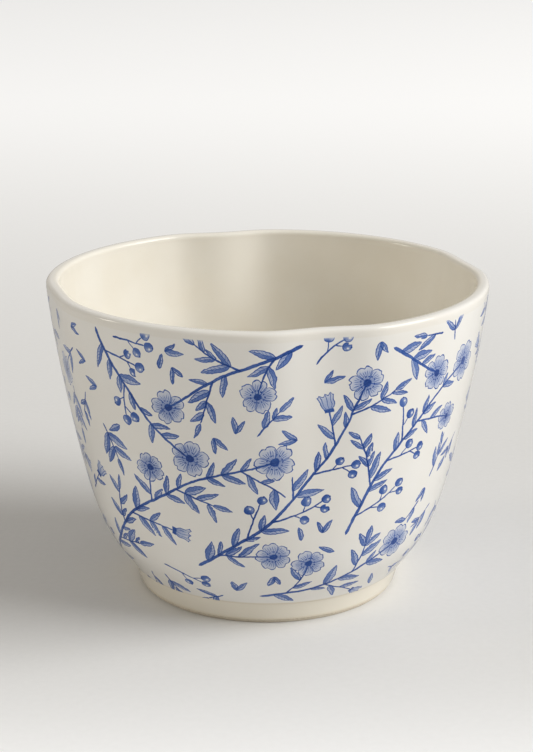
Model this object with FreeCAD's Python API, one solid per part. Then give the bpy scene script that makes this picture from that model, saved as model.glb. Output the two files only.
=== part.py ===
import FreeCAD, Part
import math
import os

# A small handleless teacup: a thin fired cup with four soft vertical creases, standing on a low foot ring.
# Millimetres. The origin is the centre of the resting ring, and +Z is up through the mouth.

# Overall size
RIM_RADIUS = 46.4
RIM_HEIGHT = 67.15
FOOT_HEIGHT = 5.2
FLOOR_TOP = 7.6

# Glaze coats on the fired clay
GLAZE = 0.35
FOOT_GLAZE = 0.30
LIP_COAT_DEPTH = 1.75

# The lip's round: half its thickness, its rise, the turns that its points are set at, and how full it is
LIP_HALF = 1.3
LIP_RISE = 1.2
LIP_TURNS = (0, 30, 60, 90, 120, 150, 180)
LIP_FULLNESS = 0.72

# Creases, valleys outside and ridges inside: azimuth, and share of the full depth
CREASE_DEPTH = 1.9
CREASE_HALF_WIDTH = math.radians(16.0)
CREASES = (
    (math.radians(-76.0), 1.0),
    (math.radians(104.0), 1.0),
    (math.radians(17.0), 0.55),
    (math.radians(197.0), 0.38),
)

# Outer wall between the creases: radius, height, share of the full crease depth
OUTER_WALL = (
    (29.65, FOOT_HEIGHT, 0.0),
    (31.6, 8.0, 0.0),
    (34.3, 12.0, 0.0),
    (36.8, 17.5, 0.03),
    (39.15, 25.5, 0.16),
    (41.75, 37.0, 0.45),
    (44.25, 50.0, 0.78),
    (45.9, 61.0, 0.98),
    (46.25, 64.0, 1.0),
)

# Inner wall, from the lip down to the flat of the floor
INNER_WALL = (
    (43.6, 63.8, 1.0),
    (43.05, 59.0, 0.95),
    (41.35, 48.0, 0.75),
    (38.95, 36.0, 0.42),
    (35.95, 25.0, 0.14),
    (32.3, 16.5, 0.02),
    (27.4, 10.8, 0.0),
    (20.8, 8.2, 0.0),
    (14.0, FLOOR_TOP, 0.0),
    (8.0, FLOOR_TOP, 0.0),
)

# Foot ring and the recess inside it
FOOT_TOP_RADIUS = 29.3
FOOT_MIDDLE = (28.5, 2.6)
FOOT_GLAZE_EDGE = (28.0, 0.9)
REST_OUTER_RADIUS = 27.3
REST_INNER_RADIUS = 24.9
REST_ROUNDING = 0.35
RECESS_RADIUS = 24.2
RECESS_EDGE_HEIGHT = 0.6
RECESS_DEPTH = 2.5
BASE_GLAZE = 0.30
BASE_COVE = 0.8
COVE_TURNS = (30, 60, 90)

# Rows of poles round the cup, and the size of the block that splits the coats
RING_POLES = 120
BLOCK = 120.0


def crease_share(azimuth):
    """How far a point of the wall is pulled in, from 0 between the creases to 1 in the deepest ones."""
    share = 0.0
    for centre, strength in CREASES:
        away = math.remainder(azimuth - centre, 2.0 * math.pi)
        if abs(away) < CREASE_HALF_WIDTH:
            share += strength * math.cos(0.5 * math.pi * away / CREASE_HALF_WIDTH) ** 2
    return share


def lip_points():
    """The lip's half round, from outside over the top to inside, a little fuller than a half ellipse."""
    points = []
    for degrees in LIP_TURNS:
        across = math.cos(math.radians(degrees))
        rise = math.sin(math.radians(degrees))
        radius = RIM_RADIUS - LIP_HALF + LIP_HALF * math.copysign(abs(across) ** LIP_FULLNESS, across)
        points.append((radius, RIM_HEIGHT - LIP_RISE + LIP_RISE * abs(rise) ** LIP_FULLNESS, 1.0))
    return points


def section_curve(points):
    """A smooth curve through section points, carrying the crease depth as its Y."""
    curve = Part.BSplineCurve()
    places = [FreeCAD.Vector(radius, CREASE_DEPTH * share, height) for radius, height, share in points]
    curve.interpolate(Points=places)
    return curve


def sunk_points(points, depth):
    """The same section set in by a coat's thickness, along each point's own normal."""
    curve = section_curve(points)
    sunk = []
    for radius, height, share in points:
        place = FreeCAD.Vector(radius, CREASE_DEPTH * share, height)
        run = curve.tangent(curve.parameter(place))[0]
        length = math.hypot(run.x, run.z)
        sunk.append((radius - depth * run.z / length, height + depth * run.x / length, share))
    first = sunk[0]
    last = points[-1]
    sunk[0] = (first[0], points[0][1], first[2])
    sunk[-1] = (last[0], last[1] - depth, last[2])
    return sunk


def creased_wall(points):
    """The surface swept round the cup by a section, pulled in at each crease."""
    curve = section_curve(points)
    step = 2.0 * math.pi / RING_POLES
    stretch = 3.0 / (2.0 + math.cos(step))
    rows = []
    for place in range(RING_POLES):
        azimuth = place * step
        share = crease_share(azimuth)
        row = []
        for pole in curve.getPoles():
            radius = stretch * (pole.x - pole.y * share)
            row.append(FreeCAD.Vector(radius * math.cos(azimuth), radius * math.sin(azimuth), pole.z))
        rows.append(row)
    surface = Part.BSplineSurface()
    surface.buildFromPolesMultsKnots(
        rows,
        [1] * (RING_POLES + 1),
        curve.getMultiplicities(),
        list(range(RING_POLES + 1)),
        curve.getKnots(),
        True,
        False,
        3,
        curve.Degree,
    )
    return surface.toShape()


def cup_solid(points):
    """A closed cup from one section: its creased wall, a flat underside and a flat inner floor."""
    wall = creased_wall(points)
    rings = [edge for edge in wall.Edges if edge.isClosed()]
    discs = [Part.Face(Part.Wire([ring])) for ring in rings]
    shell = Part.makeShell([wall] + discs)
    shell.sewShape()
    solid = Part.makeSolid(Part.Shell(shell.Faces))
    if solid.Volume < 0:
        solid.reverse()
    return solid


def turned(points):
    """A solid of revolution about Z from a closed list of radius and height."""
    corners = [FreeCAD.Vector(radius, 0.0, height) for radius, height in points]
    outline = Part.Face(Part.makePolygon(corners + corners[:1]))
    return outline.revolve(FreeCAD.Vector(0, 0, 0), FreeCAD.Vector(0, 0, 1), 360)


def section_points():
    """The finished cup's section, with its glaze on."""
    return list(OUTER_WALL) + lip_points() + list(INNER_WALL)


def clay_shape():
    """The fired wall and floor under the glaze."""
    return cup_solid(sunk_points(section_points(), GLAZE))


def glaze_coats():
    """The coat all over the clay cup, split below the lip into outside, lip and lining."""
    coat = cup_solid(section_points()).cut(clay_shape())
    split_height = RIM_HEIGHT - LIP_COAT_DEPTH
    corner = FreeCAD.Vector(-BLOCK / 2.0, -BLOCK / 2.0, split_height)
    above = Part.makeBox(BLOCK, BLOCK, BLOCK, corner)
    lip = coat.common(above).Solids[0]
    below = sorted(coat.cut(above).Solids, key=lambda solid: solid.BoundBox.XLength)
    return below[1], lip, below[0]


def clay_body():
    """The cup's wall and floor, with the low disc that fills the top of the foot ring."""
    disc_bottom = RECESS_DEPTH + BASE_GLAZE
    disc = Part.makeCylinder(RECESS_RADIUS, FOOT_HEIGHT - disc_bottom, FreeCAD.Vector(0, 0, disc_bottom))
    return clay_shape().fuse(disc).removeSplitter()


def foot_ring():
    """The turned ring that the cup stands on."""
    edge_radius, edge_height = FOOT_GLAZE_EDGE
    middle_radius, middle_height = FOOT_MIDDLE
    return turned((
        (REST_INNER_RADIUS, 0.0),
        (REST_OUTER_RADIUS, 0.0),
        (REST_OUTER_RADIUS + REST_ROUNDING, REST_ROUNDING),
        (edge_radius - FOOT_GLAZE, edge_height),
        (middle_radius - FOOT_GLAZE, middle_height),
        (FOOT_TOP_RADIUS - FOOT_GLAZE, FOOT_HEIGHT),
        (RECESS_RADIUS, FOOT_HEIGHT),
        (RECESS_RADIUS, RECESS_EDGE_HEIGHT),
    ))


def foot_glaze():
    """The collar of glaze round the foot ring, wiped back just above the resting edge."""
    edge_radius, edge_height = FOOT_GLAZE_EDGE
    middle_radius, middle_height = FOOT_MIDDLE
    return turned((
        (edge_radius - FOOT_GLAZE, edge_height),
        (edge_radius, edge_height),
        (middle_radius, middle_height),
        (FOOT_TOP_RADIUS, FOOT_HEIGHT),
        (FOOT_TOP_RADIUS - FOOT_GLAZE, FOOT_HEIGHT),
        (middle_radius - FOOT_GLAZE, middle_height),
    ))


def base_glaze():
    """The coat in the recess, pooled in a small cove where it meets the ring."""
    top = RECESS_DEPTH + BASE_GLAZE
    corners = [(0.0, top), (RECESS_RADIUS, top), (RECESS_RADIUS, RECESS_DEPTH - BASE_COVE)]
    for degrees in COVE_TURNS:
        turn = math.radians(degrees)
        radius = RECESS_RADIUS - BASE_COVE + BASE_COVE * math.cos(turn)
        corners.append((radius, RECESS_DEPTH - BASE_COVE + BASE_COVE * math.sin(turn)))
    corners.append((0.0, RECESS_DEPTH))
    return turned(corners)


def write(node, shape):
    """Check one sub-part and write it."""
    if not shape.isValid() or shape.Volume <= 0:
        raise ValueError(node + " isn't a sound solid")
    shape.exportStep("parts/" + node + ".step")
    print(node, round(shape.Volume, 1), len(shape.Solids), "solid")


def main():
    os.makedirs("parts", exist_ok=True)
    outer_glaze, lip_glaze, liner_glaze = glaze_coats()
    write("clay_body", clay_body())
    write("foot_ring", foot_ring())
    write("outer_glaze", outer_glaze)
    write("lip_glaze", lip_glaze)
    write("liner_glaze", liner_glaze)
    write("foot_glaze", foot_glaze())
    write("base_glaze", base_glaze())


main()
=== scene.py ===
import itertools
import math
import random

import bpy
import numpy as np
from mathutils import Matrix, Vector
from mathutils.kdtree import KDTree


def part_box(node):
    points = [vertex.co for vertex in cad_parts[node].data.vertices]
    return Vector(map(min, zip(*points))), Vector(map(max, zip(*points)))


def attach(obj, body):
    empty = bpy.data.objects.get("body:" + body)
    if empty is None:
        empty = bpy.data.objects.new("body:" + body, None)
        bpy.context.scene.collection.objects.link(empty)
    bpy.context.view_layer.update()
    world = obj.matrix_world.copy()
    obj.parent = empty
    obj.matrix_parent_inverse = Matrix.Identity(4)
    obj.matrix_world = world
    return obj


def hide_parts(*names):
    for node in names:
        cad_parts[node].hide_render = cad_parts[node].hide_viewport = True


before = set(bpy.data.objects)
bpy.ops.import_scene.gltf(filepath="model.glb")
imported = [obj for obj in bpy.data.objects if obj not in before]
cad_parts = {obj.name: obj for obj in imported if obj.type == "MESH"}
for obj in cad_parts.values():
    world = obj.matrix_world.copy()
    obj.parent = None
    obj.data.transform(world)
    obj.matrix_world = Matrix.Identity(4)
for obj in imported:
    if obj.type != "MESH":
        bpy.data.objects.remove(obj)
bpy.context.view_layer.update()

# A small handleless teacup with four soft creases: white outside under a cobalt sprig print, cream inside
# and on the foot. Sections and the print are laid out in millimetres, and the pieces are made in metres.

MM = 0.001

# Heights in millimetres, from the frame
FOOT_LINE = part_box("outer_glaze")[0].z / MM
LIP_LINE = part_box("lip_glaze")[0].z / MM
RIM_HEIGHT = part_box("lip_glaze")[1].z / MM

# The lip: half its thickness, its rise, the turns that its points are set at, and how full its round is.
# Its radius is a hundredth of a millimetre inside the frame's, so that no facet passes the frame's box.
RIM_RADIUS = 46.39
LIP_HALF = 1.3
LIP_RISE = 1.2
LIP_TURNS = (0, 30, 60, 90, 120, 150, 180)
LIP_FULLNESS = 0.72

# Creases, valleys outside and ridges inside: azimuth, and share of the full depth
CREASE_DEPTH = 1.9
CREASE_HALF_WIDTH = math.radians(16.0)
CREASES = (
    (math.radians(-76.0), 1.0), (math.radians(104.0), 1.0),
    (math.radians(17.0), 0.55), (math.radians(197.0), 0.38),
)
# The frame's wall is a cubic spline round the cup, which blends each place with those 3 degrees either side
POLE_STEP = math.radians(3.0)
POLE_WEIGHTS = ((-POLE_STEP, 1 / 6), (0.0, 4 / 6), (POLE_STEP, 1 / 6))

# The coat's thickness, and the finished cup's section between the creases:
# radius, height, and share of the full crease depth
GLAZE = 0.35
OUTER_WALL = (
    (29.65, FOOT_LINE, 0.0), (31.6, 8.0, 0.0), (34.3, 12.0, 0.0), (36.8, 17.5, 0.03), (39.15, 25.5, 0.16),
    (41.75, 37.0, 0.45), (44.25, 50.0, 0.78), (45.9, 61.0, 0.98), (46.25, 64.0, 1.0),
)
INNER_WALL = (
    (43.6, 63.8, 1.0), (43.05, 59.0, 0.95), (41.35, 48.0, 0.75), (38.95, 36.0, 0.42), (35.95, 25.0, 0.14),
    (32.3, 16.5, 0.02), (27.4, 10.8, 0.0), (20.8, 8.2, 0.0), (14.0, 7.6, 0.0), (8.0, 7.6, 0.0),
)

# How finely each piece is made: steps round the cup, and spacing up the section in millimetres
CURVE_SPACING = 0.02
WALL_STEPS = 560
WALL_SPACING = 0.52
LINER_STEPS = 288
LINER_SPACING = 1.0
LIP_STEPS = 400
LIP_SPACING = 0.18
BACK_SPACING = 5.0
EDGE_ROW = 0.03
WELD = 0.001
SHARP = math.radians(40.0)

PRINT_SEED = 4217


# ---------------------------------------------------------------- sections

def lip_knots():
    """The lip's half round, from outside over the top to inside, a little fuller than a half ellipse."""
    knots = []
    for degrees in LIP_TURNS:
        across = math.cos(math.radians(degrees))
        rise = math.sin(math.radians(degrees))
        radius = RIM_RADIUS - LIP_HALF + LIP_HALF * math.copysign(abs(across) ** LIP_FULLNESS, across)
        knots.append((radius, RIM_HEIGHT - LIP_RISE + LIP_RISE * abs(rise) ** LIP_FULLNESS, 1.0))
    return tuple(knots)


def end_slope(run, knots, at):
    """The slope at one end of four knots, from the cubic through them."""
    slopes = []
    for column in knots.T:
        cubic = np.polyfit(run - at, column, 3)
        slopes.append(cubic[2])
    return slopes


def smooth_curve(knots, spacing):
    """Points about spacing apart on the smooth cubic spline through the knots."""
    knots = np.array(knots)
    lengths = np.linalg.norm(np.diff(knots * (1.0, 1.0, CREASE_DEPTH), axis=0), axis=1)
    run = np.concatenate([[0.0], np.cumsum(lengths)])
    count = len(run)
    rates = np.diff(knots, axis=0) / lengths[:, None]
    weights = np.eye(count)
    right = np.zeros_like(knots)
    right[0] = end_slope(run[:4], knots[:4], run[0])
    right[-1] = end_slope(run[-4:], knots[-4:], run[-1])
    for i in range(1, count - 1):
        weights[i, i - 1:i + 2] = lengths[i], 2.0 * (lengths[i - 1] + lengths[i]), lengths[i - 1]
        right[i] = 3.0 * (lengths[i] * rates[i - 1] + lengths[i - 1] * rates[i])
    slopes = np.linalg.solve(weights, right)
    at = np.linspace(0.0, run[-1], int(round(run[-1] / spacing)) + 1)
    left = np.clip(np.searchsorted(run, at, side="right") - 1, 0, count - 2)
    gap = lengths[left][:, None]
    t = ((at - run[left]) / lengths[left])[:, None]
    return (
        (1 + 2 * t) * (1 - t) ** 2 * knots[left]
        + t * (1 - t) ** 2 * gap * slopes[left]
        + t * t * (3 - 2 * t) * knots[left + 1]
        - t * t * (1 - t) * gap * slopes[left + 1]
    )


def run_along(points):
    """How far along a section each of its points lies."""
    steps = np.linalg.norm(np.diff(points[:, :2], axis=0), axis=1)
    return np.concatenate([[0.0], np.cumsum(steps)])


def spaced(points, spacing):
    """A fine section's points at a wider spacing, with a narrow row at each end to hold its edge crisp."""
    run = run_along(points)
    count = max(1, int(round(run[-1] / spacing)))
    at = np.linspace(0.0, run[-1], count + 1)
    at = np.concatenate([at[:1], [EDGE_ROW], at[1:-1], [run[-1] - EDGE_ROW], at[-1:]])
    return np.stack([np.interp(at, run, column) for column in points.T], axis=1)


def coat_loop(face, spacing):
    """A closed section of a coat: its face, and its back set in by the coat's thickness."""
    along = np.gradient(face[:, :2], axis=0)
    along /= np.linalg.norm(along, axis=1)[:, None]
    back = face.copy()
    back[:, 0] -= GLAZE * along[:, 1]
    back[:, 1] += GLAZE * along[:, 0]
    back[0, 1] = face[0, 1]
    back[-1, 1] = face[-1, 1]
    return np.concatenate([spaced(face, spacing), spaced(back, BACK_SPACING)[::-1]])


section = smooth_curve(OUTER_WALL + lip_knots() + INNER_WALL, CURVE_SPACING)
top = int(np.argmax(section[:, 1]))
outer_end = int(np.searchsorted(section[:top, 1], LIP_LINE))
inner_start = top + int(np.searchsorted(-section[top:, 1], -LIP_LINE))
wall_face = section[:outer_end + 1]
lip_face = section[outer_end:inner_start + 1]
floor_radii = np.arange(section[-1, 0], 0.0, -CURVE_SPACING)[1:]
floor_height = section[-1, 1]
floor_heights = np.full_like(floor_radii, floor_height)
floor_face = np.stack([floor_radii, floor_heights, np.zeros_like(floor_radii)], axis=1)
liner_face = np.concatenate([section[inner_start:], floor_face, [[0.0, floor_height, 0.0]]])


def crease_share(azimuth):
    """How far the wall is pulled in at an azimuth, from 0 between the creases to 1 in the deepest one."""
    share = np.zeros_like(azimuth)
    for centre, strength in CREASES:
        for shift, weight in POLE_WEIGHTS:
            away = np.abs((azimuth - centre + shift + math.pi) % (2 * math.pi) - math.pi)
            bell = np.cos(0.5 * math.pi * away / CREASE_HALF_WIDTH) ** 2
            share += strength * weight * np.where(away < CREASE_HALF_WIDTH, bell, 0.0)
    return share


# ---------------------------------------------------------------- making pieces

def spun_piece(name, loop, steps, node):
    """A closed shell: a ring of vertices set out as the section, spun round the cup's axis, then creased."""
    bpy.ops.object.select_all(action="DESELECT")
    bpy.ops.mesh.primitive_circle_add(vertices=len(loop), radius=RIM_RADIUS * MM)
    piece = bpy.context.object
    piece.name = piece.data.name = name
    corners = np.zeros((len(loop), 3))
    corners[:, 0] = loop[:, 0] * MM
    corners[:, 2] = loop[:, 1] * MM
    piece.data.vertices.foreach_set("co", corners.ravel())
    pull = piece.data.attributes.new("pull", "FLOAT", "POINT")
    pull.data.foreach_set("value", loop[:, 2])
    outermost, innermost = loop[:, 0].max(), loop[:, 0].min()
    across = piece.data.attributes.new("across", "FLOAT", "POINT")
    across.data.foreach_set("value", np.interp(-loop[:, 0], (-outermost, -innermost), (0.0, 1.0)))
    bpy.ops.object.mode_set(mode="EDIT")
    bpy.ops.mesh.select_all(action="SELECT")
    bpy.ops.mesh.spin(steps=steps, angle=2 * math.pi, center=(0, 0, 0), axis=(0, 0, 1))
    bpy.ops.mesh.select_all(action="SELECT")
    bpy.ops.mesh.remove_doubles(threshold=WELD * MM)
    bpy.ops.mesh.delete_loose()
    bpy.ops.mesh.select_all(action="SELECT")
    bpy.ops.mesh.normals_make_consistent(inside=False)
    bpy.ops.object.mode_set(mode="OBJECT")
    press_creases(piece.data)
    bpy.ops.object.shade_smooth_by_angle(angle=SHARP)
    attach(piece, "root")
    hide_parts(node)
    return piece


def vertex_places(mesh):
    places = np.empty(len(mesh.vertices) * 3)
    mesh.vertices.foreach_get("co", places)
    return places.reshape(-1, 3)


def press_creases(mesh):
    """Presses the four creases into a spun shell."""
    places = vertex_places(mesh)
    pull = np.empty(len(places))
    mesh.attributes["pull"].data.foreach_get("value", pull)
    radius = np.hypot(places[:, 0], places[:, 1])
    inward = CREASE_DEPTH * MM * pull * crease_share(np.arctan2(places[:, 1], places[:, 0]))
    places[:, :2] *= (1.0 - inward / np.maximum(radius, MM))[:, None]
    mesh.vertices.foreach_set("co", places.ravel())
    mesh.attributes.remove(mesh.attributes["pull"])
    mesh.update()


# ---------------------------------------------------------------- the print's layout

# Lengths are in millimetres and angles in radians. A run is a distance up the wall from the foot line, and
# widths are half widths at a stem's root and tip.
STEP = 0.5               # a stem is laid out in steps this long
PRINT_BOTTOM = 0.2       # the runs that a stem grows between
PRINT_TOP = 62.8
OVER_LIP = 2.2           # how far a leaf or flower may reach past the lip line, which cuts it off
LEAST_STEPS = 6          # a stem that finds room for fewer steps, or for a smaller share of them, is left out
LEAST_SHARE = 0.55
STEM_ROOM = 0.3          # the room that is kept round a stem
BLOOM_ROOM = 0.85        # the room that is kept round a flower, as a share of its size
MAIN_WIDTHS = (0.36, 0.2)
TWIG_WIDTHS = (0.19, 0.12)
STALK_WIDTHS = (0.11, 0.1)
BLOSSOM, BELL, BERRY = 0, 1, 2

draw = random.Random(PRINT_SEED)
number = itertools.count(1)
wall_run = run_along(wall_face)
stems = []                # course, half widths at its two ends, layer
leaves = []               # base, direction, side, length
blooms = []               # base, direction, side, kind, size
taken = np.empty((0, 5))  # place, room kept round it, owner


def on_wall(azimuth, run):
    """Places on the wall's face, at azimuths and at runs up the wall from the foot line."""
    radius, height, pull = (np.interp(run, wall_run, column) for column in wall_face.T)
    radius = radius - CREASE_DEPTH * pull * crease_share(np.asarray(azimuth, dtype=float))
    return np.stack([radius * np.cos(azimuth), radius * np.sin(azimuth), height], axis=-1)


def unit(vectors):
    return vectors / np.linalg.norm(vectors, axis=-1, keepdims=True)


def directions(azimuth, run, heading):
    """A place on the wall, the direction of a heading there, and the side to its left."""
    east = unit(on_wall(azimuth + 0.004, run) - on_wall(azimuth - 0.004, run))
    up = on_wall(azimuth, run + 0.15) - on_wall(azimuth, run - 0.15)
    up = unit(up - east * np.sum(up * east, axis=-1, keepdims=True))
    turn = np.asarray(heading)[..., None]
    along = east * np.cos(turn) + up * np.sin(turn)
    return on_wall(azimuth, run), along, up * np.cos(turn) - east * np.sin(turn)


def is_free(places, room, owner=0):
    """Which places are clear of all that is drawn, apart from the owner's own."""
    others = taken[taken[:, 4] != owner]
    if not len(others):
        return np.ones(len(places), dtype=bool)
    gaps = np.linalg.norm(places[:, None] - others[None, :, :3], axis=2) - others[:, 3]
    return gaps.min(axis=1) > room


def take(places, room, owner):
    """Keeps room round places, for an owner."""
    global taken
    rows = np.column_stack([places, np.full(len(places), room), np.full(len(places), owner)])
    taken = np.concatenate([taken, rows])


def grow(azimuth, run, heading, length, bend, sway):
    """A stem's course over the wall: azimuth, run and heading at each step."""
    course = []
    phase = draw.uniform(0.0, 2 * math.pi)
    for step in range(int(length / STEP) + 1):
        course.append((azimuth, run, heading))
        azimuth += STEP * math.cos(heading) / np.interp(run, wall_run, wall_face[:, 0])
        run += STEP * math.sin(heading)
        heading += STEP * (bend + sway * math.cos(phase + 0.3 * step * STEP))
    return np.array(course)


def add_stem(course, widths, room, layer, owner=0, skip=0):
    """Draws a stem as far as it finds room: returns its course and number, or None if it is too short."""
    inside = (course[:, 1] > PRINT_BOTTOM) & (course[:, 1] < PRINT_TOP)
    inside[skip:] &= is_free(on_wall(course[skip:, 0], course[skip:, 1]), room, owner)
    length = len(course) if inside.all() else int(np.argmin(inside))
    if length < max(LEAST_STEPS, LEAST_SHARE * len(course)):
        return None
    course = course[:length]
    own = next(number)
    stems.append((course, widths, layer))
    take(on_wall(course[::2, 0], course[::2, 1]), STEM_ROOM, own)
    return course, own


def add_leaf(azimuth, run, heading, length, owner):
    """Draws a leaf if there is room for it, and says whether it did."""
    here, along, side = directions(azimuth, run, heading)
    spots = here + along * length * np.array([[0.4], [0.6], [0.8], [1.0]])
    if spots[-1, 2] > LIP_LINE + OVER_LIP or not is_free(spots, 0.08 * length + 0.22, owner).all():
        return False
    leaves.append((here, along, side, length))
    take(spots, 0.1 * length, next(number))
    return True


def add_bloom(azimuth, run, heading, kind, size, owner):
    """Draws a flower or berry if there is room for it, and says whether it did."""
    here, along, side = directions(azimuth, run, heading)
    middle = here + along * size * {BLOSSOM: 0.0, BELL: 0.9, BERRY: 1.0}[kind]
    room = BLOOM_ROOM * size
    if middle[2] + size > LIP_LINE + OVER_LIP or not is_free(middle[None], room + 0.2, owner).all():
        return False
    blooms.append((here, along, side, kind, size))
    take(middle[None], room, next(number))
    return True


def add_leaves(course, own, first, gap, lengths, spread):
    """Leaves on alternate sides of a stem, shorter towards its tip."""
    side = draw.choice((-1, 1))
    at = first / STEP
    while at < len(course) - 1:
        azimuth, run, heading = course[int(at)]
        length = draw.uniform(*lengths) * (1.08 - 0.35 * at / len(course))
        for way in (side, -side):
            if way == side or draw.random() < 0.35:
                lean = draw.uniform(*spread)
                if not add_leaf(azimuth, run, heading + way * lean, length, own):
                    add_leaf(azimuth, run, heading + way * (lean - 0.25), 0.7 * length, own)
        side = -side
        at += draw.uniform(0.85, 1.2) * gap / STEP


def add_tip(course, own, kind, size):
    """A flower at a stem's end, or else a leaf."""
    azimuth, run, heading = course[-1]
    if kind is None or not add_bloom(azimuth, run, heading, kind, size, own):
        add_leaf(azimuth, run, heading, draw.uniform(3.6, 4.8), own)


def add_berries(course, own):
    """Berries on short stalks, on alternate sides of a twig and at its tip."""
    side = draw.choice((-1, 1))
    add_bloom(*course[-1], BERRY, draw.uniform(0.85, 1.05), own)
    at = len(course) - 5
    while at > 4:
        azimuth, run, heading = course[at]
        stalk = grow(azimuth, run, heading + side * draw.uniform(0.6, 0.9), draw.uniform(1.6, 2.4), 0.0, 0.0)
        if add_bloom(*stalk[-1], BERRY, draw.uniform(0.8, 1.0), own):
            stems.append((stalk, STALK_WIDTHS, "stem"))
        side = -side
        at -= draw.choice((4, 5))


def add_twig(azimuth, run, heading, length, kind, owner=0, least=1):
    """A twig with leaves, a flower or berries. It is left out if fewer of them than the least find room."""
    global taken
    old_stems, old_leaves, old_blooms, old_taken = len(stems), len(leaves), len(blooms), taken
    course = grow(azimuth, run, heading, length, draw.uniform(-0.035, 0.035), 0.02)
    grown = add_stem(course, TWIG_WIDTHS, 1.3, "twig", owner, skip=3)
    if grown is None:
        return
    if kind == BERRY:
        add_berries(*grown)
    else:
        add_tip(*grown, kind, draw.uniform(3.1, 3.9) if kind == BLOSSOM else draw.uniform(1.7, 2.2))
        add_leaves(*grown, draw.uniform(1.5, 2.5), 2.6, (4.2, 6.0), (0.55, 0.9))
    if len(leaves) + len(blooms) < old_leaves + old_blooms + least:
        del stems[old_stems:], leaves[old_leaves:], blooms[old_blooms:]
        taken = old_taken


def add_branches(roots):
    """Long main stems, each with a blossom at its tip, then their side twigs, then leaves between those."""
    grown = []
    for azimuth, run, heading, length, bend in roots:
        course = grow(math.radians(azimuth), run, math.radians(heading), length, math.radians(bend), 0.022)
        branch = add_stem(course, MAIN_WIDTHS, 4.2, "stem")
        if branch:
            grown.append(branch)
    for branch in grown:
        add_tip(*branch, BLOSSOM, draw.uniform(3.6, 4.3))
    for course, own in grown:
        side = draw.choice((-1, 1))
        at = draw.uniform(4.0, 7.0)
        while at < len(course) * STEP - 5.0:
            azimuth, run, heading = course[int(at / STEP)]
            kind = draw.choice((BLOSSOM, BELL, BERRY, None, None))
            heading += side * draw.uniform(0.6, 0.95)
            add_twig(azimuth, run, heading, draw.uniform(7.0, 13.0), kind, own)
            side = -side
            at += draw.uniform(5.0, 8.0)
    for course, own in grown:
        add_leaves(course, own, draw.uniform(2.0, 3.5), 3.4, (4.4, 6.4), (0.6, 0.95))


def fill_gaps():
    """Loose sprigs where the long stems leave the wall bare, large ones first."""
    for room, tries, kinds in (
        (4.2, 500, (BLOSSOM, BELL, BERRY, None)), (3.2, 700, (BELL, BERRY, None)), (2.4, 700, None),
    ):
        for _ in range(tries):
            azimuth = draw.uniform(-math.pi, math.pi)
            run = draw.uniform(1.0, PRINT_TOP - 1.0)
            heading = draw.uniform(-math.pi, math.pi)
            if not is_free(on_wall(np.array([azimuth]), np.array([run])), room).all():
                continue
            if kinds:
                add_twig(azimuth, run, heading, draw.uniform(1.6, 2.6) * room, draw.choice(kinds), least=2)
            elif add_leaf(azimuth, run, heading, draw.uniform(3.2, 4.4), 0):
                add_leaf(azimuth, run, heading + draw.uniform(0.7, 1.0), draw.uniform(2.8, 3.8), taken[-1, 4])


# Long stems: azimuth in degrees and run at the root, heading there in degrees, length, and bend in degrees
# a millimetre
ROOTS = (
    (-160, 3, 62, 62, -0.75), (-136, 62, -68, 48, 0.9), (-112, 12, 34, 54, 0.75), (-92, 3, 12, 30, 0.9),
    (-82, 62, -158, 30, 0.6), (-66, 20, 70, 44, -1.1), (-46, 4, 112, 50, -0.9), (-30, 61, -100, 44, 0.8),
    (-12, 4, 70, 60, 0.8), (16, 60, -40, 46, -0.9), (34, 6, 104, 46, 0.7), (60, 3, 48, 60, -0.5),
    (78, 62, -70, 38, -0.9), (102, 8, 96, 50, -0.9), (136, 62, -112, 50, 0.9), (152, 6, 66, 44, 0.8),
    (176, 61, -58, 42, -0.8), (-104, 62, -20, 34, -0.3), (-58, 60, -30, 24, 0.5),
)
add_branches(ROOTS)
fill_gaps()


# ---------------------------------------------------------------- the print on the wall

FAR = 99.0               # stands for nothing near
KIND_STEP = 20.0         # a flower's last value is its size and this many more for each kind
NEAR_STEM = 1.5          # how far from a stem's course its values are written, in millimetres
NEAR_MOTIF = 0.5         # how far outside a leaf or flower its values are written
TAPER = 0.7              # how fast a stem's half width narrows past its ends
OUTSIDE = 0.3            # how squarely a face looks out from the axis, to count as the wall's outside

# The wall's UV map is in strips, one for each half of the cup: the lowest strip's foot, the way up to the
# other half's, and a strip's height. The top and bottom edges of the wall have their own.
UV_MARGIN = 0.005
PRINTED_STRIPS = (0.01, 0.43, 0.42)
BACK_STRIPS = (0.88, 0.04, 0.03)
EDGE_STRIPS = (0.965, 0.008, 0.005)
EDGE_PITCH = 0.016


def face_corners(mesh):
    """The four corners of each of the wall's faces: their numbers, their places in millimetres, and how far
    the face looks out from the cup's axis."""
    vertices = np.empty(len(mesh.loops), dtype=np.int64)
    mesh.loops.foreach_get("vertex_index", vertices)
    starts = np.empty(len(mesh.polygons), dtype=np.int64)
    mesh.polygons.foreach_get("loop_start", starts)
    normals = np.empty(len(mesh.polygons) * 3)
    mesh.polygons.foreach_get("normal", normals)
    corners = starts[:, None] + np.arange(4)
    places = vertex_places(mesh)[vertices[corners]] / MM
    outward = (normals.reshape(-1, 3)[:, :2] * unit(places.mean(axis=1)[:, :2])).sum(axis=1)
    return corners, places, outward


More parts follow.
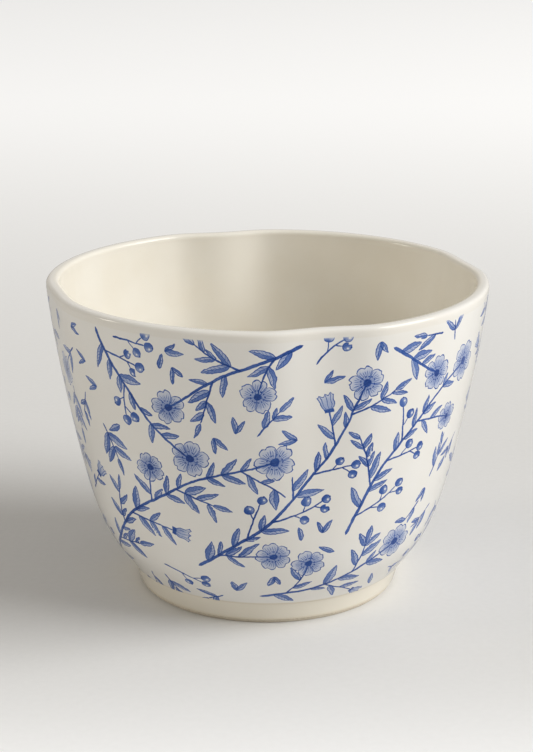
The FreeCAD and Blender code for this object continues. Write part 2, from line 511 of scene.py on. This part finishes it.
def lay_flat(mesh):
    """Lays the wall out flat in its own UV map: its printed face in two wide strips, and the hidden faces
    in narrow ones above."""
    corners, places, outward = face_corners(mesh)
    azimuth = np.arctan2(places[..., 1], places[..., 0])
    middle = places.mean(axis=1)
    centre = np.arctan2(middle[:, 1], middle[:, 0])[:, None]
    far_half = centre >= 0.0
    round_cup = centre + (azimuth - centre + math.pi) % (2 * math.pi) - math.pi
    u = np.clip(round_cup / math.pi + np.where(far_half, 0.0, 1.0), 0.0, 1.0)
    up = (places[..., 2] - FOOT_LINE) / (LIP_LINE - FOOT_LINE)
    radius = np.hypot(places[..., 0], places[..., 1])
    across = np.clip((radius - radius.min(axis=1, keepdims=True)) / GLAZE, 0.0, 1.0)

    def strip(foot, pitch, height, share):
        return foot + pitch * far_half + height * share

    printed = strip(*PRINTED_STRIPS, up)
    back = strip(*BACK_STRIPS, up)
    edge = strip(*EDGE_STRIPS, across) + EDGE_PITCH * (up > 0.5)
    outward = outward[:, None]
    v = np.where(outward > OUTSIDE, printed, np.where(outward < -OUTSIDE, back, edge))
    flat = np.zeros((len(mesh.loops), 2))
    flat[corners] = np.stack([UV_MARGIN + (1.0 - 2.0 * UV_MARGIN) * u, v], axis=-1)
    layer = mesh.uv_layers.new(name="OFBake")
    layer.data.foreach_set("uv", flat.ravel())


def beside_stems(places, layer):
    """For each corner: the run along the nearest stem of a layer, the way beside it, and its half width."""
    points, sides, widths, firsts, lasts = [], [], [], [], []
    count = 0
    for course, ends, own_layer in stems:
        if own_layer == layer:
            here, _, side = directions(*course.T)
            points.append(here)
            sides.append(side)
            widths.append(np.linspace(*ends, len(course)))
            firsts.append(np.full(len(course), count))
            count += len(course)
            lasts.append(np.full(len(course), count - 2))
    points, sides, widths, firsts, lasts = map(np.concatenate, (points, sides, widths, firsts, lasts))
    tree = KDTree(len(points))
    for index, point in enumerate(points):
        tree.insert(point, index)
    tree.balance()
    found = [tree.find(middle)[1:] for middle in places.mean(axis=1)]
    nearest, distance = np.array(found).T
    close = distance < NEAR_STEM
    nearest = nearest[close].astype(int)
    first, last = firsts[nearest, None], lasts[nearest, None]
    piece = np.clip(nearest[:, None] + np.arange(-3, 3), first, last)
    course = points[piece + 1] - points[piece]
    offset = places[close][:, :, None] - points[piece][:, None]
    share = (offset * course[:, None]).sum(-1) / (course ** 2).sum(-1)[:, None]
    held = np.clip(share, 0.0, 1.0)
    gap = np.linalg.norm(offset - held[..., None] * course[:, None], axis=-1)
    best = gap.argmin(axis=2)[..., None]
    piece = np.take_along_axis(np.broadcast_to(piece[:, None], gap.shape), best, 2)[..., 0]
    share = np.take_along_axis(share, best, 2)[..., 0]
    offset = np.take_along_axis(offset, best[..., None], 2)[:, :, 0]
    before = np.where(piece == first, np.maximum(-share, 0), 0)
    after = np.where(piece == last, np.maximum(share - 1, 0), 0)
    values = np.full(places.shape, (0.0, FAR, -1.0))
    values[close] = np.stack([
        (piece - first + share) * STEP,
        (offset * sides[piece]).sum(-1),
        widths[piece] - TAPER * STEP * (before + after),
    ], axis=-1)
    return values


def beside_motifs(places, motifs, reach):
    """For each corner: its place along and across the nearest motif, and that motif's last value.

    Reach gives how far a place lies outside a motif, from its place along and across and the motif's size."""
    middles = places.mean(axis=1)
    least = np.full(len(middles), NEAR_MOTIF)
    chosen = np.full(len(middles), -1)
    for index, (base, along, side, size, _) in enumerate(motifs):
        offset = middles - base
        outside = reach(offset @ along, offset @ side, size)
        better = (outside < least) & ((offset ** 2).sum(axis=1) < (size + 3.0) ** 2)
        least[better] = outside[better]
        chosen[better] = index
    values = np.full(places.shape, (FAR, FAR, 1.0))
    on = chosen >= 0
    bases, alongs, sides = (np.array([motif[i] for motif in motifs])[chosen[on]][:, None] for i in range(3))
    offset = places[on] - bases
    labels = np.array([motif[4] for motif in motifs])[chosen[on]]
    values[on] = np.stack([
        (offset * alongs).sum(-1), (offset * sides).sum(-1), np.repeat(labels[:, None], 4, axis=1),
    ], axis=-1)
    return values


def leaf_reach(x, y, length):
    return np.maximum(np.maximum(-x, x - length), np.abs(y) - 0.16 * length)


def bloom_reach(x, y, size):
    return np.hypot(x, y) - size


def write_print(mesh):
    """Writes the print's layers on the wall's corners, for the material to draw."""
    corners, places, outward = face_corners(mesh)
    outside = outward > OUTSIDE
    corners, places = corners[outside], places[outside]
    leaf_motifs = [(*leaf, leaf[3]) for leaf in leaves]
    bloom_motifs = []
    for base, along, side, kind, size in blooms:
        reach = (1.1 if kind == BLOSSOM else 2.2) * size
        bloom_motifs.append((base, along, side, reach, KIND_STEP * kind + size))
    layers = {
        "stem": beside_stems(places, "stem"),
        "twig": beside_stems(places, "twig"),
        "leaf_a": beside_motifs(places, leaf_motifs[::2], leaf_reach),
        "leaf_b": beside_motifs(places, leaf_motifs[1::2], leaf_reach),
        "bloom": beside_motifs(places, bloom_motifs, bloom_reach),
    }
    for name, values in layers.items():
        everywhere = np.full((len(mesh.loops), 3), (FAR, FAR, -1.0 if name in ("stem", "twig") else 1.0))
        everywhere[corners] = values
        attribute = mesh.attributes.new(name, "FLOAT_VECTOR", "CORNER")
        attribute.data.foreach_set("vector", everywhere.ravel())


# ---------------------------------------------------------------- writing nodes

class Flow:
    """A number or vector in a node tree. Sums written with it become Math nodes."""

    def __init__(self, tree, socket):
        self.tree = tree
        self.socket = socket

    def maths(self, operation, *others):
        return maths(self.tree, operation, self, *others)

    def __add__(self, other):
        return self.maths("ADD", other)

    def __sub__(self, other):
        return self.maths("SUBTRACT", other)

    def __rsub__(self, other):
        return maths(self.tree, "SUBTRACT", other, self)

    def __mul__(self, other):
        return self.maths("MULTIPLY", other)

    def __truediv__(self, other):
        return self.maths("DIVIDE", other)

    __radd__ = __add__
    __rmul__ = __mul__

    def size(self):
        return self.maths("ABSOLUTE")

    def ease(self, low, high):
        """0 at low and 1 at high, eased in between."""
        node = self.tree.nodes.new("ShaderNodeMapRange")
        node.interpolation_type = "SMOOTHSTEP"
        for name, value in (("Value", self), ("From Min", low), ("From Max", high)):
            feed(node.inputs[name], value)
        return Flow(self.tree, node.outputs["Result"])

    def split(self):
        node = self.tree.nodes.new("ShaderNodeSeparateXYZ")
        feed(node.inputs[0], self)
        return [Flow(self.tree, output) for output in node.outputs]

    def times(self, factor):
        """A vector scaled by a factor."""
        node = self.tree.nodes.new("ShaderNodeVectorMath")
        node.operation = "SCALE"
        feed(node.inputs[0], self)
        feed(node.inputs["Scale"], factor)
        return Flow(self.tree, node.outputs[0])


def feed(socket, value):
    """Links a flow into a socket, or sets a plain value on it."""
    if isinstance(value, Flow):
        value.tree.links.new(value.socket, socket)
    else:
        socket.default_value = value


def maths(tree, operation, *values):
    node = tree.nodes.new("ShaderNodeMath")
    node.operation = operation
    for socket, value in zip(node.inputs, values):
        feed(socket, value)
    return Flow(tree, node.outputs[0])


def most(first, *others):
    for other in others:
        first = first.maths("MAXIMUM", other)
    return first


def places_in_mm(tree):
    node = tree.nodes.new("ShaderNodeTexCoord")
    return Flow(tree, node.outputs["Object"]).times(1.0 / MM)


def noise(tree, places, period, detail=2.0, output="Fac"):
    """Noise about 0.5, with features about a period across."""
    node = tree.nodes.new("ShaderNodeTexNoise")
    feed(node.inputs["Vector"], places)
    node.inputs["Scale"].default_value = 1.0 / period
    node.inputs["Detail"].default_value = detail
    return Flow(tree, node.outputs[output])


def mixed(tree, share, first, second):
    """One colour over another by a share."""
    node = tree.nodes.new("ShaderNodeMix")
    node.data_type = "RGBA"
    feed(node.inputs["Factor"], share)
    feed(node.inputs["A"], first)
    feed(node.inputs["B"], second)
    return Flow(tree, node.outputs["Result"])


def new_group(name, inputs, outputs):
    """A node group with named sockets: its tree, its inputs, and a function that feeds its outputs."""
    tree = bpy.data.node_groups.new(name, "ShaderNodeTree")
    for in_out, sockets in (("INPUT", inputs), ("OUTPUT", outputs)):
        for socket, kind in sockets.items():
            tree.interface.new_socket(socket, in_out=in_out, socket_type="NodeSocket" + kind)
    entry = tree.nodes.new("NodeGroupInput")
    exit_node = tree.nodes.new("NodeGroupOutput")
    given = [Flow(tree, entry.outputs[socket]) for socket in inputs]

    def give(**values):
        for socket, value in values.items():
            feed(exit_node.inputs[socket], value)

    return tree, given, give


def use(tree, group, **values):
    """Places a group in a tree, feeds it, and returns its outputs."""
    node = tree.nodes.new("ShaderNodeGroup")
    node.node_tree = group
    for socket, value in values.items():
        feed(node.inputs[socket], value)
    return [Flow(tree, output) for output in node.outputs]


# ---------------------------------------------------------------- the print's ink

# A line's last number is half its width in millimetres, and the factor after it is its depth of ink.
SOFT = 0.07              # how far ink bleeds at an edge, in millimetres
LAYER_INPUTS = {"Place": "Vector", "Waver": "Vector"}
FLOWER_INPUTS = {"Place": "Vector", "Waver": "Vector", "Size": "Float"}
INK_OUTPUT = {"Ink": "Float"}


def line(away, half):
    """Ink within half a line's width of where away is 0."""
    return away.size().ease(half + SOFT, half - SOFT)


def within(room):
    """Ink where room is more than 0."""
    return room.ease(-SOFT, SOFT)


def rows_of(value, pitch, half):
    """Fine lines at every pitch of a value in millimetres."""
    away = ((value / pitch).maths("FRACT") - 0.5).size()
    return away.ease(0.5 - (half + SOFT) / pitch, 0.5 - (half - SOFT) / pitch)


def wavered(place, waver, by=1.0):
    """A place along and across a motif, moved by the hand's waver."""
    x, y, _ = place.split()
    shift_x, shift_y, _ = waver.split()
    return x + shift_x * by, y + shift_y * by


def length_of(x, y):
    return (x * x + y * y).maths("SQRT")


def stem_ink():
    """A stem, darker along its two sides."""
    tree, (place, waver), give = new_group("stem_ink", LAYER_INPUTS, INK_OUTPUT)
    _, beside, half = place.split()
    away = (beside + waver.split()[1] * 0.6).size()
    body = within(half - away)
    rim = line(away - (half - 0.08), 0.05)
    give(Ink=body * (0.7 + rim * 0.26))
    return tree


def leaf_ink():
    """A pointed leaf with a midrib and veins, one half of it hatched."""
    tree, (place, waver), give = new_group("leaf_ink", LAYER_INPUTS, INK_OUTPUT)
    x, y = wavered(place, waver)
    length = place.split()[2]
    share = (x / length).maths("MAXIMUM", 0.0).maths("MINIMUM", 1.0)
    own = (length * 37.0).maths("FRACT")
    slim = own * 0.05 + 0.115
    half = length * slim * share.maths("POWER", 0.7) * (1.0 - share) * 3.16
    away = y.size()
    inside = within(half - away)
    span = x.ease(-0.12, 0.08) * (length - x).ease(-0.1, 0.2)
    outline = line(away - half, 0.08) * 0.92
    midrib = line(y, 0.07) * (0.92 - share).ease(-0.05, 0.1) * 0.92
    veins = rows_of(x - away * 1.15, 0.85, 0.06) * inside * 0.7
    shaded = y.ease(-0.1, 0.15)
    hatch = rows_of(x * 0.45 - y, 0.36, 0.05) * inside * shaded * 0.62
    wash = inside * (shaded * 0.24 + 0.26 - share * 0.18)
    give(Ink=most(outline, midrib, veins, hatch, wash) * span)
    return tree


def blossom_ink():
    """Five notched petals with rays, round an eye and a ring of dots."""
    tree, (place, waver, size), give = new_group("blossom_ink", FLOWER_INPUTS, INK_OUTPUT)
    x, y = wavered(place, waver)
    radius = length_of(x, y)
    turn = y.maths("ARCTAN2", x) / (2 * math.pi)
    petal = (turn * 5.0).maths("FRACT") - 0.5
    spread = petal.size() * 2.0
    edge = size * ((1.0 - spread * spread * 0.95).maths("SQRT") * 0.42 + 0.58)
    edge = edge - size * 0.1 * spread.ease(0.24, 0.0)
    inside = within(edge - radius)
    outline = line(radius - edge, 0.09) * 0.92
    between = (0.5 - petal.size()) * radius * (2 * math.pi / 5)
    gap = line(between, 0.06) * inside * radius.ease(0.3, 0.6) * 0.85
    rays = ((petal * 7.0).maths("FRACT") - 0.5).size().ease(0.3, 0.42)
    reach = size * (0.7 + (petal * 23.0).maths("SINE") * 0.14)
    rays = rays * inside * (reach - radius).ease(-0.25, 0.25) * 0.8
    wash = inside * (0.26 - radius / size * 0.2)
    heart = size * 0.22
    eye = (heart - radius).ease(-0.1, 0.1)
    dots = ((turn * 13.0).maths("FRACT") - 0.5).size().ease(0.34, 0.2) * line(radius - heart * 1.75, 0.12)
    give(Ink=most(outline, gap, rays, wash, eye, dots))
    return tree


def bell_ink():
    """A bell seen from the side, with a frilled mouth and ribs."""
    tree, (place, waver, size), give = new_group("bell_ink", FLOWER_INPUTS, INK_OUTPUT)
    x, y = wavered(place, waver)
    long = size * 1.9
    share = x / long
    half = size * (share.ease(0.0, 0.5) * 0.42 + share.ease(0.65, 1.0) * 0.22 + 0.2)
    away = y.size()
    across = y / half
    mouth = long * (1.0 - (across * 4.7).maths("SINE").size() * 0.12) - x
    span = x.ease(-0.1, 0.05)
    inside = within(half - away) * within(mouth) * span
    outline = line(away - half, 0.08) * within(mouth + 0.1) * span * 0.85
    brim = line(mouth, 0.08) * within(half - away + 0.1) * span * 0.85
    ribs = line(((across * 1.6 + 0.5).maths("FRACT") - 0.5) * half / 1.6, 0.06) * inside * 0.75
    cup = within(size * 0.42 - away) * share.ease(0.28, 0.16) * span * 0.95
    wash = inside * (0.32 - share * 0.26)
    give(Ink=most(outline, brim, ribs, cup, wash))
    return tree


def berry_ink():
    """A round berry, hatched on its shaded side, with a glint and a dark tip."""
    tree, (place, waver, size), give = new_group("berry_ink", FLOWER_INPUTS, INK_OUTPUT)
    x, y = wavered(place, waver, 0.7)
    x = x - size
    radius = length_of(x, y)
    inside = within(size - radius)
    outline = line(radius - size, 0.08) * 0.9
    hatch = rows_of(x + y, 0.34, 0.06) * 0.55
    shade = (y - x * 0.4).ease(-0.5, 0.5) * 0.45
    glint = length_of(x - size * 0.25, y + size * 0.35).ease(0.1, 0.35)
    tip = length_of(x - size, y).ease(0.26, 0.14)
    give(Ink=most(outline, inside * glint * most(shade + 0.25, hatch), tip))
    return tree


def bloom_ink():
    """Draws the kind of flower or berry that a place names in its last number."""
    tree, (place, waver), give = new_group("bloom_ink", LAYER_INPUTS, INK_OUTPUT)
    label = place.split()[2]
    kind = (label / KIND_STEP).maths("FLOOR")
    size = label - kind * KIND_STEP
    ink = None
    for group, which in ((blossom_ink(), BLOSSOM), (bell_ink(), BELL), (berry_ink(), BERRY)):
        drawn, = use(tree, group, Place=place, Waver=waver, Size=size)
        chosen = drawn * (kind - which).size().maths("LESS_THAN", 0.5)
        ink = chosen if ink is None else ink + chosen
    give(Ink=ink)
    return tree


def print_ink(tree, places):
    """All the print's layers together, as one depth of ink from 0 to 1."""
    drift = noise(tree, places, 2.6, 1.0, "Color")
    shake = noise(tree, places, 0.7, 1.0, "Color")
    waver = centred(tree, drift, 0.8, shake, 0.3)
    bare = None
    drawn_by = (
        (stem_ink(), ("stem", "twig")), (leaf_ink(), ("leaf_a", "leaf_b")), (bloom_ink(), ("bloom",)),
    )
    for group, layers in drawn_by:
        for layer in layers:
            node = tree.nodes.new("ShaderNodeAttribute")
            node.attribute_name = layer
            ink, = use(tree, group, Place=Flow(tree, node.outputs["Vector"]), Waver=waver)
            left = 1.0 - ink
            bare = left if bare is None else bare * left
    tone = noise(tree, places, 6.0).ease(0.3, 0.7) * 0.3 + 0.8
    grain = noise(tree, places, 0.3, 3.0).ease(0.25, 0.6) * 0.28 + 0.76
    below_lip = places.split()[2].ease(LIP_LINE + 0.4, LIP_LINE - 0.9)
    return (1.0 - bare) * tone * grain * below_lip


def centred(tree, first, by, second, other_by):
    """Two noises moved to be about 0, scaled and added."""
    node = tree.nodes.new("ShaderNodeVectorMath")
    node.operation = "ADD"
    for socket, colour, scale in zip(node.inputs, (first, second), (by, other_by)):
        less = tree.nodes.new("ShaderNodeVectorMath")
        less.operation = "SUBTRACT"
        feed(less.inputs[0], colour)
        less.inputs[1].default_value = (0.5, 0.5, 0.5)
        feed(socket, Flow(tree, less.outputs[0]).times(scale))
    return Flow(tree, node.outputs[0])


# ---------------------------------------------------------------- glaze and clay

GROUND = (0.845, 0.83, 0.795, 1.0)     # the white under the print
CREAM = (0.86, 0.83, 0.755, 1.0)
CREAM_DEEP = (0.71, 0.63, 0.48, 1.0)
FOOT_TAN = 0.35                        # how much of the deeper cream the foot's glaze has all over
POOL = (13.0, 7.4)                     # heights between which the lining's glaze pools towards the floor
LINING_FROM = 7.0                      # the height that only the lining is above, with the foot's glaze below
TOWARDS_REST = (2.2, 0.8)                     # heights between which the foot's cream deepens towards the edge it stands on
GLAZE_RIPPLE = 0.12                    # heights of the glaze's bump and the clay's, in millimetres
CLAY_GRAIN = 0.08
CLAY = (0.72, 0.66, 0.55, 1.0)
CLAY_DARK = (0.5, 0.43, 0.33, 1.0)
INKS = (
    (0.0, GROUND), (0.12, (0.45, 0.51, 0.68, 1.0)), (0.3, (0.18, 0.26, 0.52, 1.0)),
    (0.5, (0.075, 0.15, 0.43, 1.0)), (0.75, (0.025, 0.085, 0.34, 1.0)), (1.0, (0.006, 0.04, 0.22, 1.0)),
)


def glaze_skin():
    """The fired glaze's surface: slow ripples, faint peel, and its small changes of tone and gloss."""
    tree, (), give = new_group("glaze_skin", {}, {"Height": "Float", "Tone": "Float", "Roughness": "Float"})
    places = places_in_mm(tree)
    ripple = noise(tree, places, 9.0, 1.0)
    peel = noise(tree, places, 0.9, 2.0)
    cloud = noise(tree, places, 14.0, 3.0)
    specks = noise(tree, places, 0.5, 0.0).ease(0.78, 0.86)
    give(
        Height=ripple * 0.5 + peel * 0.018,
        Tone=cloud.ease(0.3, 0.7) * 0.9 + specks * 0.6,
        Roughness=noise(tree, places, 5.0, 3.0) * 0.1 + 0.1,
    )
    return tree


def new_material(name):
    material = bpy.data.materials.new(name)
    material.use_nodes = True
    tree = material.node_tree
    return material, tree, tree.nodes["Principled BSDF"].inputs


def add_bump(tree, shader, height, distance):
    """Raises a surface by a height from 0 to 1, at a distance in millimetres."""
    node = tree.nodes.new("ShaderNodeBump")
    node.inputs["Strength"].default_value = 1.0
    node.inputs["Distance"].default_value = distance * MM
    feed(node.inputs["Height"], height)
    tree.links.new(node.outputs["Normal"], shader["Normal"])


def glazed(name, skin, colour_of):
    """A glossy glaze over a colour."""
    material, tree, shader = new_material(name)
    height, tone, roughness = use(tree, skin)
    feed(shader["Base Color"], colour_of(tree, tone))
    feed(shader["Roughness"], roughness)
    shader["IOR"].default_value = 1.5
    shader["Specular IOR Level"].default_value = 0.25
    shader["Coat Weight"].default_value = 0.25
    shader["Coat Roughness"].default_value = 0.05
    add_bump(tree, shader, height, GLAZE_RIPPLE)
    return material


def cream_colour(tree, tone):
    """Cream, deeper where the glaze pools on the inner floor, with painted shade on the foot just under the
    wall, and deeper towards the foot's lower edge.
    """
    height = places_in_mm(tree).split()[2]
    pooled = height.ease(*POOL) * 0.5
    # Painted shade: deeper cream on the foot just under the wall's overhanging edge.
    painted_shade_under_wall = height.ease(FOOT_LINE - 0.8, FOOT_LINE) * 0.9
    # Deeper cream towards the edge the foot stands on.
    near_rest = height.ease(*TOWARDS_REST) * 0.7
    foot = height.ease(FOOT_LINE + 0.8, FOOT_LINE + 0.2) * most(painted_shade_under_wall, near_rest, FOOT_TAN)
    lining = tone * 0.2 + pooled * height.ease(FOOT_LINE, LINING_FROM)
    return mixed(tree, most(lining, foot), CREAM, CREAM_DEEP)


def lip_colour(tree, tone):
    """White outside, as the ground under the print, and cream over the top and inside, with painted shade in
    deeper cream on the lip's outermost round.
    """
    node = tree.nodes.new("ShaderNodeAttribute")
    node.attribute_name = "across"
    across = Flow(tree, node.outputs["Fac"])
    shade = mixed(tree, across.ease(0.4, 0.75), GROUND, CREAM)
    # Painted shade: deeper cream on the outermost part of the lip's round, where it overhangs the wall.
    return mixed(tree, tone * 0.12 + across.ease(0.12, 0.0) * 0.14, shade, CREAM_DEEP)


def print_colour(tree, tone):
    """The print on its white ground, with painted shade deepening the ground just under the lip and just
    above the foot line.
    """
    places = places_in_mm(tree)
    ramp = tree.nodes.new("ShaderNodeValToRGB")
    while len(ramp.color_ramp.elements) < len(INKS):
        ramp.color_ramp.elements.new(0.5)
    for element, (position, colour) in zip(ramp.color_ramp.elements, INKS):
        element.position = position
        element.color = colour
    ink = print_ink(tree, places)
    feed(ramp.inputs["Fac"], ink)
    height = places.split()[2]
    # Painted shade: the bare ground turns towards deeper cream in a band under the lip's overhang and where
    # the wall meets the foot.
    painted_shade_at_edges = most(height.ease(LIP_LINE - 0.6, LIP_LINE) * 0.2, height.ease(FOOT_LINE + 0.5, FOOT_LINE) * 0.5)
    bare = ink.ease(0.25, 0.0)
    return mixed(tree, most(tone * 0.1, painted_shade_at_edges) * bare, Flow(tree, ramp.outputs["Color"]), CREAM_DEEP)


def clay_material():
    """Bare fired clay, matt, with a fine grain."""
    material, tree, shader = new_material("clay")
    places = places_in_mm(tree)
    grain = noise(tree, places, 0.25, 3.0)
    cloud = noise(tree, places, 4.0, 3.0)
    colour = mixed(tree, grain.ease(0.35, 0.7) * 0.6 + cloud * 0.3, CLAY, CLAY_DARK)
    feed(shader["Base Color"], colour)
    feed(shader["Roughness"], grain * 0.2 + 0.7)
    add_bump(tree, shader, grain, CLAY_GRAIN)
    return material


# ---------------------------------------------------------------- camera, light and floor

LENS = 86.3              # millimetres, on a sensor 36 wide
CAMERA_PLACE = (-0.000185, -0.369085, 0.156543)
CAMERA_TILT = math.radians(73.172)
CUP_MIDDLE = Vector((0.0, 0.0, 0.03))
FLOOR_RADIUS = 6.0
FLOOR_DARK = (0.73, 0.73, 0.725, 1.0)
FLOOR_PALE = (0.77, 0.77, 0.765, 1.0)
FLOOR_MIRRORED = (0.52, 0.52, 0.515, 1.0)
FLOOR_GLOW = (0.35, 0.355, 0.365, 1.0)
NO_GLOW = (0.0, 0.0, 0.0, 1.0)
GLOW_BEHIND = (-20.0, 760.0)     # where the glow starts and is full, in millimetres behind the cup's axis
GLOW_IN_FRONT = (-35.0, -135.0)
FILL = 0.37              # the studio's even light
FILL_MIRRORED = 0.25     # what it adds in the glaze's reflections
FILL_SEEN = 0.45         # and where the camera looks straight at it


def add_camera():
    data = bpy.data.cameras.new("camera")
    data.lens = LENS
    data.sensor_width = 36.0
    camera = bpy.data.objects.new("camera", data)
    camera.location = CAMERA_PLACE
    camera.rotation_euler = (CAMERA_TILT, 0.0, 0.0)
    bpy.context.scene.collection.objects.link(camera)
    bpy.context.scene.camera = camera


def add_softbox(name, place, size, power, colour):
    """A round soft lamp that faces the cup."""
    data = bpy.data.lights.new(name, "AREA")
    data.shape = "DISK"
    data.size = size
    data.energy = power
    data.color = colour
    light = bpy.data.objects.new(name, data)
    light.location = place
    light.rotation_euler = (CUP_MIDDLE - Vector(place)).to_track_quat("-Z", "Y").to_euler()
    bpy.context.scene.collection.objects.link(light)


def seen_by(tree, ray):
    """1 for what one kind of ray sees, and 0 for the others."""
    return Flow(tree, tree.nodes.new("ShaderNodeLightPath").outputs[ray])


def add_floor():
    """A plain pale floor, which glows a little behind and in front of the cup where the camera sees it."""
    bpy.ops.object.select_all(action="DESELECT")
    bpy.ops.mesh.primitive_circle_add(vertices=96, radius=FLOOR_RADIUS, fill_type="NGON")
    floor = bpy.context.object
    floor.name = floor.data.name = "floor"
    material, tree, shader = new_material("floor")
    places = places_in_mm(tree)
    grain = noise(tree, places, 1.5, 3.0)
    plain = mixed(tree, grain, FLOOR_DARK, FLOOR_PALE)
    feed(shader["Base Color"], mixed(tree, seen_by(tree, "Is Glossy Ray"), plain, FLOOR_MIRRORED))
    shader["Roughness"].default_value = 0.9
    depth = places.split()[1]
    behind = depth.ease(*GLOW_BEHIND)
    in_front = depth.ease(*GLOW_IN_FRONT) * 1.15
    glow = (behind + in_front) * seen_by(tree, "Is Camera Ray")
    feed(shader["Emission Color"], mixed(tree, glow, NO_GLOW, FLOOR_GLOW))
    shader["Emission Strength"].default_value = 1.0
    floor.data.materials.append(material)


def add_world():
    """Even light from all round the studio."""
    world = bpy.data.worlds.new("studio")
    bpy.context.scene.world = world
    world.use_nodes = True
    tree = world.node_tree
    background = tree.nodes["Background"]
    background.inputs["Color"].default_value = (1.0, 0.95, 0.87, 1.0)
    seen = seen_by(tree, "Is Camera Ray") * FILL_SEEN
    mirrored = seen_by(tree, "Is Glossy Ray") * FILL_MIRRORED
    feed(background.inputs["Strength"], seen + mirrored + FILL)


# ---------------------------------------------------------------- the cup

wall_loop = coat_loop(wall_face, WALL_SPACING)
wall = spun_piece("printed_wall", wall_loop, WALL_STEPS, "outer_glaze")
lip = spun_piece("lip", coat_loop(lip_face, LIP_SPACING), LIP_STEPS, "lip_glaze")
liner = spun_piece("lining", coat_loop(liner_face, LINER_SPACING), LINER_STEPS, "liner_glaze")
write_print(wall.data)
lay_flat(wall.data)

skin = glaze_skin()
printed = glazed("printed_glaze", skin, print_colour)
lip_coat = glazed("lip_glaze", skin, lip_colour)
cream = glazed("cream_glaze", skin, cream_colour)
clay = clay_material()
wall.data.materials.append(printed)
lip.data.materials.append(lip_coat)
liner.data.materials.append(cream)
coats = {"clay_body": clay, "foot_ring": clay, "foot_glaze": cream, "base_glaze": cream}
for node, material in coats.items():
    for material_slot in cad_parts[node].material_slots:
        material_slot.material = material

add_camera()
add_softbox("window", (2.38, -0.56, 1.74), 2.2, 82.0, (0.99, 0.99, 0.985))
add_softbox("far_window", (-1.25, -0.11, 0.36), 0.3, 2.6, (1.0, 0.94, 0.84))
add_floor()
add_world()

bpy.context.scene.view_settings.view_transform = "Standard"
